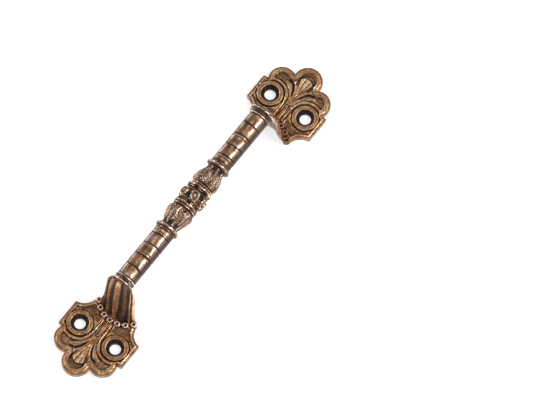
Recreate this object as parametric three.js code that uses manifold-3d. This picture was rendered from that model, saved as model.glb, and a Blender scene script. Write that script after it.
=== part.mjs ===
// Sash lift handle: two screw-down brackets that carry a turned bar, threaded on a tie rod.
// Millimetres, +Z up and away from the sash, +X along the bar towards the upper bracket.
// The origin is midway between the brackets, in the plane that their backs share.
import * as THREE from "three";
import { mergeVertices } from "three/addons/utils/BufferGeometryUtils.js";
import Module from "manifold-3d";

const wasm = await Module();
wasm.setup();

// Screw holes and plate
const holeX = 60; // distance of each row of screw holes from the middle of the handle
const holeY = 8.6; // half the spacing of the two holes in a plate
const holeRadius = 2.25; // clears a No. 8 wood screw
const sinkRadius = 3.7; // mouth of the countersink
const plateThickness = 2.5;
const bossRadius = 5.3;
const bossTop = 3.0;

// Plate outline, as distances outward from the row of screw holes and sideways from the middle
const centreLobe = { out: 13, side: 0, radius: 5.8 };
const sideLobe = { out: 7.5, side: 8.4, radius: 5.5, endAngle: 2.05 };
const plateHalfWidth = 15.3;
const sideCornerOut = 4.7; // outer end of the straight side
const cove = { out: -12.5, side: 16, radius: 6.34 };
const footHollowAtBase = 2.6; // how far the hollow of the foot runs into the plate's inner edge

// Seven beads at the feet of the flutes, on an arc round a point inside the handle
const beadCount = 7;
const beadArc = { out: -18.5, radius: 10.7, halfAngle: 0.9 };
const beadRadius = 1.15;
const beadTop = 3.0;

// Bar and foot
const barHeight = 24.6; // axis of the bar above the sash
const headX = 44.5; // plane where each foot meets the bar's ferrule
const headRadius = 4.9;
const headDepth = 2.5;
const shellWall = 1.7; // thickness of the hollow foot at its crown
const edgeLand = 1.1; // width of the flat edge on either side of the hollow
const hollowTop = 19.4; // the hollow dies out below the head
const hollowFull = 14;
const crownLine = { lean: 0.145, flare: 0.7, reach: 2 }; // lean outward per mm of drop
const edgeLine = { outward: 3, power: 2.2 };
const shoulder = { depth: 1.05, reach: 2.2 }; // just below the bar
const footFlare = { taper: 0.6, taperPower: 1.5, depth: 3, reach: 5 }; // at the sash
const footLevels = [0, 0.8, 2, 3.5, 6, 9.5, 13.5, 16, 18, 19.4, 21.6, 23.4, barHeight];

// Pieces threaded on the rod, as distances from the middle of the bar
const rodRadius = 2.0;
const boreRadius = 2.1;
const barrelRadius = 4.15;
const barrelEdge = 0.35;
const knopHalf = 2.75;
const discEnd = 5.9;
const bulbEnd = 14.9;
const beadRingEnd = 17.6;
const barrelEnds = [20.5, 25.6, 31.0, 36.6, 41.5];

// Ferrule, the spigot inside it, and the pin that locks bracket, ferrule and rod
const filletRadius = 4.55;
const filletWidth = 0.85;
const ferruleCove = { end: 43.1, radius: 4.05 };
const ferruleLip = { start: 44.1, radius: 5.3, edge: 5.1 };
const spigotRadius = 3.3;
const spigotGap = 0.1;
const spigotEnd = 41.8;
const rodEnd = 45.3;
const socketEnd = 45.5;
const pinX = 43.0;
const pinRadius = 0.8;
const pinGap = 0.05;
const pinBottom = 19.95;
const pinTop = 25.7;

const aroundBar = 24; // facets round the bar
const colours = { casting: 0x9a6b41, turned: 0xa9774f, ornament: 0x8c6038, steel: 0x6f6a64 };

// Solids

// A manifold solid made from a closed three.js geometry.
function solid(geometry) {
  const bare = geometry.clone();
  bare.deleteAttribute("normal");
  bare.deleteAttribute("uv");
  const merged = mergeVertices(bare, 1e-4);
  const mesh = new wasm.Mesh({
    numProp: 3,
    vertProperties: merged.attributes.position.array,
    triVerts: new Uint32Array(merged.index.array),
  });
  return new wasm.Manifold(mesh);
}

// A flat-shaded three.js geometry holding a manifold solid.
function geometryOf(made) {
  const mesh = made.getMesh();
  const geometry = new THREE.BufferGeometry();
  geometry.setAttribute("position", new THREE.BufferAttribute(mesh.vertProperties, 3));
  geometry.setIndex(new THREE.BufferAttribute(mesh.triVerts, 1));
  const flat = geometry.toNonIndexed();
  flat.computeVertexNormals();
  return flat;
}

// A ring or disc turned about the bar's axis from a closed profile of [x, radius] pairs.
function turned(profile) {
  const points = profile.map(([x, radius]) => new THREE.Vector2(radius, x));
  points.push(points[0].clone());
  const geometry = new THREE.LatheGeometry(points, aroundBar);
  geometry.rotateZ(-Math.PI / 2);
  geometry.translate(0, 0, barHeight);
  return geometry;
}

// A sleeve on the rod: its outer profile of [x, radius] pairs, closed along the bore.
function sleeve(outer, bore = boreRadius) {
  const first = outer[0][0];
  const last = outer[outer.length - 1][0];
  return turned([[first, bore], ...outer, [last, bore]]);
}

// Points of an elliptical swelling from x0 to x1 that stands from a low radius to a high one.
function swelling(x0, x1, low, high, steps) {
  return Array.from({ length: steps + 1 }, (_, i) => {
    const across = i / steps;
    const rise = Math.sqrt(Math.max(0, 1 - (2 * across - 1) ** 2));
    return [x0 + (x1 - x0) * across, low + (high - low) * rise];
  });
}

// A solid through a stack of level closed loops that all hold the same number of points.
function loft(loops) {
  const count = loops[0].length;
  const positions = loops.flat().flatMap((p) => [p.x, p.y, p.z]);
  const faces = [];
  for (let level = 0; level < loops.length - 1; level++) {
    for (let i = 0; i < count; i++) {
      const a = level * count + i;
      const b = level * count + ((i + 1) % count);
      faces.push(a, b, b + count);
      faces.push(a, b + count, a + count);
    }
  }
  const floor = THREE.ShapeUtils.triangulateShape(loops[0], []);
  const roof = THREE.ShapeUtils.triangulateShape(loops[loops.length - 1], []);
  const top = (loops.length - 1) * count;
  floor.forEach(([a, b, c]) => faces.push(a, c, b));
  roof.forEach(([a, b, c]) => faces.push(top + a, top + b, top + c));
  const geometry = new THREE.BufferGeometry();
  geometry.setAttribute("position", new THREE.Float32BufferAttribute(positions, 3));
  geometry.setIndex(faces);
  return geometry;
}

// Bracket

// Where the arcs of the centre lobe and a side lobe cross, on the outer side.
function lobeJunction() {
  const step = new THREE.Vector2(sideLobe.out - centreLobe.out, sideLobe.side - centreLobe.side);
  const gap = step.length();
  const along = (gap ** 2 + centreLobe.radius ** 2 - sideLobe.radius ** 2) / (2 * gap);
  const away = Math.sqrt(centreLobe.radius ** 2 - along ** 2);
  const unit = step.normalize();
  return new THREE.Vector2(
    centreLobe.out + unit.x * along + unit.y * away,
    centreLobe.side + unit.y * along - unit.x * away,
  );
}

// The outline of the plate: three lobes, a straight side, a cove, and the hollow of the foot.
function plateOutline() {
  const junction = lobeJunction();
  const centreX = holeX + centreLobe.out;
  const sideX = holeX + sideLobe.out;
  const coveX = holeX + cove.out;
  const centreAngle = Math.atan2(junction.y, junction.x - centreLobe.out);
  const sideAngle = Math.atan2(junction.y - sideLobe.side, junction.x - sideLobe.out);
  const coveAngle = Math.asin((plateHalfWidth - cove.side) / cove.radius);
  const cornerX = holeX + sideCornerOut;
  const tipY = cove.side - cove.radius;
  const outline = new THREE.Shape();
  outline.absarc(centreX, 0, centreLobe.radius, -centreAngle, centreAngle, false);
  outline.absarc(sideX, sideLobe.side, sideLobe.radius, sideAngle, sideLobe.endAngle, false);
  outline.lineTo(cornerX, plateHalfWidth);
  outline.absarc(coveX, cove.side, cove.radius, coveAngle, -Math.PI / 2, true);
  outline.absellipse(coveX, 0, footHollowAtBase, tipY, Math.PI / 2, -Math.PI / 2, true, 0);
  outline.absarc(coveX, -cove.side, cove.radius, Math.PI / 2, -coveAngle, true);
  outline.lineTo(cornerX, -plateHalfWidth);
  outline.absarc(sideX, -sideLobe.side, sideLobe.radius, -sideLobe.endAngle, -sideAngle, false);
  return outline;
}

function plateSolid() {
  const plate = new THREE.ExtrudeGeometry(plateOutline(), {
    depth: plateThickness,
    bevelEnabled: false,
    curveSegments: 12,
  });
  return solid(plate);
}

// A short upright cylinder.
function post(x, y, radius, bottom, top, facets) {
  const geometry = new THREE.CylinderGeometry(radius, radius, top - bottom, facets);
  geometry.rotateX(Math.PI / 2);
  geometry.translate(x, y, (bottom + top) / 2);
  return solid(geometry);
}

// A screw hole with its countersink, as the cutter that makes it.
function screwCutter(y) {
  const above = 1;
  const sinkBottom = bossTop - (sinkRadius - holeRadius);
  const profile = [
    new THREE.Vector2(0, -above),
    new THREE.Vector2(holeRadius, -above),
    new THREE.Vector2(holeRadius, sinkBottom),
    new THREE.Vector2(sinkRadius + above, bossTop + above),
    new THREE.Vector2(0, bossTop + above),
  ];
  const geometry = new THREE.LatheGeometry(profile, 28);
  geometry.rotateX(Math.PI / 2);
  geometry.translate(holeX, y, 0);
  return solid(geometry);
}

// How far a height has dropped from the bar's axis towards the sash, from 0 to 1.
const dropAt = (z) => 1 - z / barHeight;

// Foot crown: a straight slope with a small flare at the plate.
function crownAt(z) {
  const flare = crownLine.flare * Math.exp(-z / crownLine.reach);
  return headX + headDepth + crownLine.lean * (barHeight - z) + flare;
}

// Where the foot is widest.
const edgeAt = (z) => headX + edgeLine.outward * dropAt(z) ** edgeLine.power;

// Half the foot's width there: a shoulder below the bar, a slow taper and a flare at the sash.
function widthAt(z) {
  const atShoulder = shoulder.depth * (1 - Math.exp((z - barHeight) / shoulder.reach));
  const taper = footFlare.taper * dropAt(z) ** footFlare.taperPower;
  return headRadius + atShoulder + taper + footFlare.depth * Math.exp(-z / footFlare.reach);
}

// One level of the foot: half an ellipse outside, and a shallower one inside for the hollow.
function footLoop(z) {
  const steps = 14;
  const smallest = 0.15;
  const fade = THREE.MathUtils.smoothstep(hollowTop - z, 0, hollowTop - hollowFull);
  const outer = crownAt(z) - edgeAt(z);
  const inner = Math.max(smallest, (outer - shellWall) * fade);
  const loop = [];
  for (let i = 0; i <= steps; i++) {
    const angle = Math.PI * (i / steps - 0.5);
    const x = edgeAt(z) + outer * Math.cos(angle);
    loop.push(new THREE.Vector3(x, widthAt(z) * Math.sin(angle), z));
  }
  for (let i = 0; i <= steps; i++) {
    const angle = Math.PI * (0.5 - i / steps);
    const x = edgeAt(z) + inner * Math.cos(angle);
    loop.push(new THREE.Vector3(x, (widthAt(z) - edgeLand) * Math.sin(angle), z));
  }
  return loop;
}

// The domed head behind the ferrule, with the spigot that the ferrule sits on.
function headSolid() {
  const steps = 6;
  const dome = Array.from({ length: steps }, (_, i) => {
    const angle = (i / steps) * (Math.PI / 2);
    return [headX + headDepth * Math.sin(angle), headRadius * Math.cos(angle)];
  });
  return solid(
    turned([
      [spigotEnd, 0],
      [spigotEnd, spigotRadius],
      [headX, spigotRadius],
      ...dome,
      [headX + headDepth, 0],
    ]),
  );
}

function footSolid() {
  return solid(loft(footLevels.map(footLoop)));
}

// The row of beads where the flutes run out on the plate.
function beadSolids() {
  return Array.from({ length: beadCount }, (_, i) => {
    const angle = beadArc.halfAngle * ((2 * i) / (beadCount - 1) - 1);
    const x = holeX + beadArc.out + beadArc.radius * Math.cos(angle);
    const y = beadArc.radius * Math.sin(angle);
    return post(x, y, beadRadius, 1, beadTop, 10);
  });
}

const rodSocket = () => {
  const profile = [
    [spigotEnd - 1, 0],
    [spigotEnd - 1, boreRadius],
    [socketEnd, boreRadius],
    [socketEnd, 0],
  ];
  return solid(turned(profile));
};

const pinHole = () => post(pinX, 0, pinRadius + pinGap, pinBottom - 1, pinTop + 0.1, 12);

function bracketGeometry() {
  let bracket = plateSolid().add(footSolid()).add(headSolid());
  beadSolids().forEach((bead) => {
    bracket = bracket.add(bead);
  });
  [-holeY, holeY].forEach((y) => {
    bracket = bracket.add(post(holeX, y, bossRadius, 1, bossTop, 28)).subtract(screwCutter(y));
  });
  return geometryOf(bracket.subtract(rodSocket()).subtract(pinHole()));
}

// Bar

function barrelGeometry(start, end) {
  return sleeve([
    [start, barrelRadius - barrelEdge],
    [start + barrelEdge, barrelRadius],
    [end - barrelEdge, barrelRadius],
    [end, barrelRadius - barrelEdge],
  ]);
}

// A small fillet at the last drum, a cove, and a lip that flares out to the foot, drilled for the pin.
function ferruleGeometry() {
  const start = barrelEnds[barrelEnds.length - 1];
  const ring = sleeve(
    [
      ...swelling(start, start + filletWidth, ferruleCove.radius, filletRadius, 6),
      [ferruleCove.end, ferruleCove.radius],
      [ferruleLip.start, ferruleLip.radius],
      [headX, ferruleLip.edge],
    ],
    spigotRadius + spigotGap,
  );
  return geometryOf(solid(ring).subtract(pinHole()));
}

const beadRingGeometry = () =>
  sleeve([
    [bulbEnd, 3.7],
    ...swelling(bulbEnd + 0.2, beadRingEnd - 0.7, 4.0, 5.0, 6),
    [beadRingEnd, barrelRadius],
  ]);

// A pear-shaped bulb, fullest next to the disc, with a waist at its outer end.
const bulbGeometry = () =>
  sleeve([
    [discEnd, 4.0],
    [6.6, 4.8],
    [7.5, 5.15],
    [8.5, 5.25],
    [10.0, 4.95],
    [11.5, 4.4],
    [12.8, 3.8],
    [13.9, 3.5],
    [bulbEnd, 3.6],
  ]);

const discGeometry = () => sleeve(swelling(knopHalf, discEnd, 4.1, 5.3, 8));

const knopGeometry = () => sleeve(swelling(-knopHalf, knopHalf, 4.2, 5.9, 10));

// The rod that everything is threaded on, drilled from below for a pin at each end.
function rodGeometry() {
  const rod = turned([
    [-rodEnd, 0],
    [-rodEnd, rodRadius],
    [rodEnd, rodRadius],
    [rodEnd, 0],
  ]);
  const atUpper = pinHole();
  const atLower = atUpper.translate([-2 * pinX, 0, 0]);
  return geometryOf(solid(rod).subtract(atUpper).subtract(atLower));
}

const pinGeometry = () => geometryOf(post(pinX, 0, pinRadius, pinBottom, pinTop, 12));

// Assembly

function piece(name, geometry, color, roughness) {
  const material = new THREE.MeshStandardMaterial({ color, roughness, metalness: 0.9 });
  const mesh = new THREE.Mesh(geometry, material);
  mesh.name = name;
  return mesh;
}

// Everything on one side of the knop, built towards +X.
function halfHandle(side) {
  const half = new THREE.Group();
  half.add(piece(side + "_bracket", bracketGeometry(), colours.casting, 0.45));
  half.add(piece(side + "_ferrule", ferruleGeometry(), colours.turned, 0.35));
  half.add(piece(side + "_cross_pin", pinGeometry(), colours.steel, 0.5));
  half.add(piece(side + "_disc", discGeometry(), colours.turned, 0.4));
  half.add(piece(side + "_bulb", bulbGeometry(), colours.ornament, 0.5));
  half.add(piece(side + "_bead_ring", beadRingGeometry(), colours.turned, 0.4));
  barrelEnds.forEach((end, i) => {
    const start = i === 0 ? beadRingEnd : barrelEnds[i - 1];
    const name = side + "_barrel_" + (i + 1);
    half.add(piece(name, barrelGeometry(start, end), colours.turned, 0.35));
  });
  return half;
}

const handle = new THREE.Group();
const upperHalf = halfHandle("upper");
const lowerHalf = halfHandle("lower");
lowerHalf.rotation.z = Math.PI;
handle.add(upperHalf);
handle.add(lowerHalf);
handle.add(piece("centre_knop", knopGeometry(), colours.ornament, 0.5));
handle.add(piece("tie_rod", rodGeometry(), colours.steel, 0.5));

export default handle;
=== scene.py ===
from types import SimpleNamespace

import bpy
import numpy as np
from mathutils import Matrix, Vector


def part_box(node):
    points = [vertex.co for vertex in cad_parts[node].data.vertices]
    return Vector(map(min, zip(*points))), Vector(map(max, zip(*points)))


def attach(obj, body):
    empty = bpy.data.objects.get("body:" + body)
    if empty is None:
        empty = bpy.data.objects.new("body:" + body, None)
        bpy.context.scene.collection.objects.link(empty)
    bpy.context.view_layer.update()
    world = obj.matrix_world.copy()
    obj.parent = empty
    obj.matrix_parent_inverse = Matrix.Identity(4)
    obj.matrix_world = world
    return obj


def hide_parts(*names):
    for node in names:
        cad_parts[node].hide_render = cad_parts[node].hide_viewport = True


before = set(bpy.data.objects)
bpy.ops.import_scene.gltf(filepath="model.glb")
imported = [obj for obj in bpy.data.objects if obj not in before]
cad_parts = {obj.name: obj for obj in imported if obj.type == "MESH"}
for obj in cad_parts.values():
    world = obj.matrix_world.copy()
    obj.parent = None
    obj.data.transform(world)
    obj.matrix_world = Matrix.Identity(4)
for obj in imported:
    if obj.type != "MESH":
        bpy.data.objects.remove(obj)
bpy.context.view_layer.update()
mm = 0.001
turn = 2 * np.pi
body = "root"
creaseAngle = 40
print("frame loaded:", len(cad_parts), "nodes")


# A node's lowest and highest place along an axis (0, 1, 2 for X, Y, Z), to a hundredth of a mm.
def span(node, axis):
    low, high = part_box(node)
    return round(low[axis] / mm, 2), round(high[axis] / mm, 2)


viewpoint = {
    "azimuth": -52.5,
    "elevation": 68.6,
    "aim": (0.0235, -0.0218, 0.0),
    "distance": 2.59,
    "lens": 438.0,
    "sensor": 36.0,
}


# Unit vector from the handle towards a direction: azimuth 0 looks from -Y, elevation 90 from above.
def direction(azimuth, elevation):
    a, e = np.radians((azimuth, elevation))
    return np.array((np.sin(a) * np.cos(e), -np.cos(a) * np.cos(e), np.sin(e)))


# Places an object at a distance from a point, with its -Z looking at the point and its X level.
def aimAt(thing, point, azimuth, elevation, distance):
    back = direction(azimuth, elevation)
    a = np.radians(azimuth)
    right = np.array((np.cos(a), np.sin(a), 0.0))
    place = np.eye(4)
    place[:3, 0] = right
    place[:3, 1] = np.cross(back, right)
    place[:3, 2] = back
    place[:3, 3] = np.array(point) + back * distance
    thing.matrix_world = Matrix(place.tolist())
    bpy.context.scene.collection.objects.link(thing)


def makeCamera(v):
    data = bpy.data.cameras.new("camera")
    data.lens = v["lens"]
    data.sensor_width = v["sensor"]
    camera = bpy.data.objects.new("camera", data)
    aimAt(camera, v["aim"], v["azimuth"], v["elevation"], v["distance"])
    bpy.context.scene.camera = camera


makeCamera(viewpoint)
print("camera placed")


# 0 below a, 1 above b, and a smooth S between them (b may be the lower one).
def ramp(x, a, b):
    q = np.clip((x - a) / (b - a), 0, 1)
    return q * q * (3 - 2 * q)


# A half-round swelling: 1 at the centre, 0 from half a width away.
def swell(distance, half):
    return np.sqrt(np.clip(1 - (distance / half) ** 2, 0, 1))


# A soft bump: 1 at the centre, falling as a squared parabola to 0 at half.
def bump(distance, half):
    return np.clip(1 - (distance / half) ** 2, 0, 1) ** 2


# Slow unevenness of a hand-finished casting, about -1 to 1: four crossed sine waves over a and b,
# each finer and lower than the one before, with phases set by the seed.
def wobble(a, b, seed):
    total = 0
    for k in range(1, 5):
        phase = seed * 1.7 + k * 2.3
        wave = np.sin(a * (0.6 + 0.37 * k) + b * 0.41 * k + phase)
        total = total + wave * np.cos(b * (0.8 + 0.29 * k) - phase) / k
    return total / 2


# Quads that join a grid of rows and columns; either direction may close on itself.
def gridFaces(rows, cols, closeRows=False, closeCols=False):
    r = np.arange(rows if closeRows else rows - 1)[:, None]
    c = np.arange(cols if closeCols else cols - 1)
    below, beside = (r + 1) % rows, (c + 1) % cols
    corners = (r * cols + c, r * cols + beside, below * cols + beside, below * cols + c)
    return np.stack(corners, -1).reshape(-1, 4)


# Joins shells, each (points in mm, list of face arrays, wear per point), into one.
def joinShells(shells):
    points, faces, wear, start = [], [], [], 0
    for p, fs, w in shells:
        points.append(p)
        wear.append(w)
        faces += [f + start for f in fs]
        start += len(p)
    return np.concatenate(points), faces, np.concatenate(wear)


# A mesh object from a shell, in the finish of its slot, which stands for the CAD node of that name;
# wear is 0 in the recesses and 1 on the rubbed high places.
def makePiece(name, shell, slot):
    points, faces, wear = shell
    mesh = bpy.data.meshes.new(name)
    corners = np.concatenate([f.ravel() for f in faces]).astype(np.int32)
    sizes = np.concatenate([np.full(len(f), f.shape[1]) for f in faces])
    starts = np.concatenate(((0,), np.cumsum(sizes)[:-1])).astype(np.int32)
    mesh.vertices.add(len(points))
    mesh.vertices.foreach_set("co", (points * mm).astype(np.float32).ravel())
    mesh.loops.add(len(corners))
    mesh.loops.foreach_set("vertex_index", corners)
    mesh.polygons.add(len(starts))
    mesh.polygons.foreach_set("loop_start", starts)
    mesh.polygons.foreach_set("use_smooth", np.ones(len(starts), bool))
    mesh.update(calc_edges=True)
    mesh.validate()
    mesh.attributes.new("wear", "FLOAT", "POINT").data.foreach_set("value", wear.astype(np.float32))
    mesh.set_sharp_from_angle(angle=np.radians(creaseAngle))
    mesh.materials.append(finishes[slot])
    piece = bpy.data.objects.new(name + "_skin", mesh)
    bpy.context.scene.collection.objects.link(piece)
    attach(piece, body)
    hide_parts(name)


# The same shell on the other side of the middle: a half turn about Z.
def halfTurn(shell):
    points, faces, wear = shell
    return points * (-1, -1, 1), faces, wear


class Wire:  # an output socket that takes part in plain arithmetic
    def __init__(self, sheet, socket):
        self.sheet = sheet
        self.socket = socket

    def math(self, operation, first, second):
        return self.sheet.node("ShaderNodeMath", {"operation": operation}, {0: first, 1: second})

    def __add__(self, other):
        return self.math("ADD", self, other)

    def __sub__(self, other):
        return self.math("SUBTRACT", self, other)

    def __rsub__(self, other):
        return self.math("SUBTRACT", other, self)

    def __mul__(self, other):
        return self.math("MULTIPLY", self, other)

    __radd__ = __add__
    __rmul__ = __mul__

    def within(self, low, high):  # 0 below low, 1 above high
        smooth = {"interpolation_type": "SMOOTHSTEP"}
        sockets = {"Value": self, "From Min": low, "From Max": high}
        return self.sheet.node("ShaderNodeMapRange", smooth, sockets)


class Sheet:  # a material's node tree
    def __init__(self, name):
        self.material = bpy.data.materials.new(name)
        self.material.use_nodes = True
        self.tree = self.material.node_tree
        self.shader = self.tree.nodes["Principled BSDF"]

    # Adds a node: its settings first, then values or wires into its sockets.
    def node(self, kind, settings, sockets, output=0):
        made = self.tree.nodes.new(kind)
        for key, value in settings.items():
            if key == "stops":
                self.setStops(made.color_ramp, value)
            else:
                setattr(made, key, value)
        for key, value in sockets.items():
            self.feed(self.socketOf(made.inputs, key), value)
        return Wire(self, self.socketOf(made.outputs, output))

    def socketOf(self, sockets, key):  # by its number, identifier or name
        if isinstance(key, int):
            return sockets[key]
        named = [s for s in sockets if s.identifier == key]
        return named[0] if named else sockets[key]

    def setStops(self, rampData, stops):
        while len(rampData.elements) < len(stops):
            rampData.elements.new(0.5)
        for element, (place, colour) in zip(rampData.elements, stops):
            element.position = place
            element.color = (*colour, 1)

    def feed(self, socket, value):
        if isinstance(value, Wire):
            self.tree.links.new(value.socket, socket)
        else:
            socket.default_value = value

    def noise(self, place, scale, detail, roughness):
        sockets = {"Vector": place, "Scale": scale, "Detail": detail, "Roughness": roughness}
        return self.node("ShaderNodeTexNoise", {}, sockets, "Fac")

    def mixColours(self, factor, first, second, blend="MIX"):
        settings = {"data_type": "RGBA", "blend_type": blend}
        sockets = {"Factor_Float": factor, "A_Color": first, "B_Color": second}
        return self.node("ShaderNodeMix", settings, sockets, "Result_Color")

    def finish(self, **sockets):
        for key, value in sockets.items():
            self.feed(self.shader.inputs[key.replace("_", " ")], value)
        return self.material


castLook = {
    "recess": (0.030, 0.018, 0.017),
    "shade": (0.125, 0.064, 0.036),
    "middle": (0.43, 0.217, 0.088),
    "rubbed": (0.80, 0.50, 0.27),
    "bright": (0.93, 0.78, 0.68),
    "rough": (0.62, 0.25),
    "mottle": (0.58, 0.66, 0.24),
    "coat": 0.35,
    "metal": (0.55, 0.96),
    "redness": 0.6,
    "grain": 900,
    "relief": 0.4,
}
turnedLook = {
    "recess": (0.062, 0.036, 0.030),
    "shade": (0.17, 0.086, 0.046),
    "middle": (0.41, 0.218, 0.102),
    "rubbed": (0.85, 0.625, 0.505),
    "bright": (0.93, 0.78, 0.70),
    "rough": (0.58, 0.22),
    "mottle": (0.80, 0.60, 0.24),
    "coat": 0.35,
    "metal": (0.6, 0.97),
    "redness": 0.3,
    "grain": 700,
    "relief": 0.22,
}
chasedLook = {
    "recess": (0.030, 0.022, 0.024),
    "shade": (0.145, 0.085, 0.055),
    "middle": (0.44, 0.27, 0.16),
    "rubbed": (0.82, 0.58, 0.42),
    "bright": (0.93, 0.79, 0.70),
    "rough": (0.60, 0.24),
    "mottle": (0.40, 0.75, 0.30),
    "coat": 0.4,
    "metal": (0.6, 0.96),
    "redness": 0.4,
    "grain": 900,
    "relief": 0.3,
}
steelLook = {
    "dark": (0.16, 0.15, 0.145),
    "light": (0.36, 0.35, 0.33),
    "rough": (0.55, 0.38),
    "metal": 0.95,
    "grain": 1200,
}

# what the three bronzes share; scales are per metre and the pits' depth is in metres
patina = {
    "stops": {"recess": 0.12, "shade": 0.36, "middle": 0.60, "rubbed": 0.84, "bright": 1.0},
    "cloudScale": 260,
    "fineGrain": 2.4,
    "tint": (1.0, 0.76, 0.64, 1),
    "tintScale": 330,
    "tintFrom": (0.36, 0.66),
    "shineFrom": (0.15, 1.0),
    "grainRoughness": 0.12,
    "pitDepth": 0.0002,
    "waxRoughness": 0.22,
}


# Antique bronze. Wear, broken up by clouds, spots and fine grain, runs through five colours from
# recess to bright metal and sets roughness and metal; a redder tint lies over it in patches.
def bronze(name, look):
    sheet = Sheet(name)
    place = sheet.node("ShaderNodeTexCoord", {}, {}, "Object")
    wear = sheet.node("ShaderNodeAttribute", {"attribute_name": "wear"}, {}, "Fac")
    clouds = sheet.noise(place, patina["cloudScale"], 4.0, 0.6)
    spots = sheet.noise(place, look["grain"], 3.0, 0.55)
    grain = sheet.noise(place, look["grain"] * patina["fineGrain"], 3.0, 0.6)
    cloudy, spotted, grainy = look["mottle"]
    worn = wear + (clouds - 0.5) * cloudy + (spots - 0.5) * spotted + (grain - 0.5) * grainy
    stops = [(position, look[key]) for key, position in patina["stops"].items()]
    colour = sheet.node("ShaderNodeValToRGB", {"stops": stops}, {"Fac": worn}, "Color")
    tint = sheet.noise(place, patina["tintScale"], 3.0, 0.55).within(*patina["tintFrom"])
    redder = sheet.mixColours(1.0, colour, patina["tint"], "MULTIPLY")
    colour = sheet.mixColours(tint * look["redness"], colour, redder)
    shine = worn.within(*patina["shineFrom"])
    roughLow, roughHigh = look["rough"]
    metalLow, metalHigh = look["metal"]
    rough = roughLow + (roughHigh - roughLow) * shine + (grain - 0.5) * patina["grainRoughness"]
    metal = metalLow + (metalHigh - metalLow) * shine
    pits = sheet.noise(place, look["grain"], 4.0, 0.65)
    depth = {"Strength": look["relief"], "Distance": patina["pitDepth"], "Height": pits}
    surface = sheet.node("ShaderNodeBump", {}, depth, "Normal")
    wax = {"Coat_Weight": look["coat"], "Coat_Roughness": patina["waxRoughness"]}
    return sheet.finish(Base_Color=colour, Roughness=rough, Metallic=metal, Normal=surface, **wax)


# Dull steel: grain runs between two greys and two roughnesses.
def darkSteel(name, look):
    sheet = Sheet(name)
    place = sheet.node("ShaderNodeTexCoord", {}, {}, "Object")
    grain = sheet.noise(place, look["grain"], 4.0, 0.6)
    colour = sheet.mixColours(grain.within(0.3, 0.7), (*look["dark"], 1), (*look["light"], 1))
    roughLow, roughHigh = look["rough"]
    rough = roughLow + (roughHigh - roughLow) * grain
    return sheet.finish(Base_Color=colour, Roughness=rough, Metallic=look["metal"])


finishes = {
    "cast_bronze": bronze("castBronze", castLook),
    "turned_bronze": bronze("turnedBronze", turnedLook),
    "chased_bronze": bronze("chasedBronze", chasedLook),
    "dark_steel": darkSteel("darkSteel", steelLook),
}
print("materials made")

# The plate's own axes, in mm: u runs outwards from its row of holes, w across it.
plate = {
    "holeX": 60.0,
    "holeSide": 8.6,
    "holeRadius": 2.25,
    "sinkRadius": 3.7,
    "bossRadius": 5.3,
    "bossTop": 2.66,
    "bossAround": 72,
    "centreLobe": (13.0, 0.0, 5.8),
    "sideLobe": (7.5, 8.4, 5.5),
    "halfWidth": span("upper_bracket", 1)[1],
    "corner": 4.7,
    "cornerSlant": 0.13,
    "slantMeets": 0.4,
    "core": 6.5,
    "cove": (-12.5, 16.0, 6.34),
    "hollow": (2.6, 9.66),
    "ground": 2.12,
    "warp": 0.13,
    "step": 0.17,
    "newtonSteps": 3,
    "gridU": (-13.2, 19.4),
    "gridW": (-15.8, 15.8),
    "backWear": 0.42,
}
beads = {
    "count": 7,
    "out": -18.5,
    "radius": 10.7,
    "halfAngle": 0.9,
    "size": 1.42,
    "top": 3.1,
    "around": 24,
}
bar = {
    "height": sum(span("tie_rod", 2)) / 2,
    "headX": span("upper_ferrule", 0)[1],
    "headRadius": 4.9,
}


# Above 0 inside the plate's outline, and about the distance to it close by: three lobes and a round
# core joined to a slab that is cut by a cove at each inner corner and by the hollow of the foot.
def insideOutline(u, w):
    side = np.abs(w)
    cu, cw, cr = plate["centreLobe"]
    su, sw, sr = plate["sideLobe"]
    vu, vw, vr = plate["cove"]
    hu, hw = plate["hollow"]
    centre = cr - np.hypot(u - cu, side - cw)
    lobe = sr - np.hypot(u - su, side - sw)
    middle = plate["core"] - np.hypot(u - plate["core"], side)
    slantEdge = plate["corner"] + (plate["halfWidth"] - side) * plate["cornerSlant"] - u
    slab = np.minimum(plate["halfWidth"] - side, slantEdge / np.hypot(1, plate["cornerSlant"]))
    slab = np.minimum(slab, u - vu)
    slab = np.minimum(slab, np.hypot(u - vu, side - vw) - vr)
    ratio = np.hypot((u - vu) / hu, side / hw)
    slope = np.hypot((u - vu) / hu**2, side / hw**2) / np.maximum(ratio, 1e-6)
    slab = np.minimum(slab, (ratio - 1) / np.maximum(slope, 1e-6))
    return np.maximum.reduce((centre, lobe, slab, middle))


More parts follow.
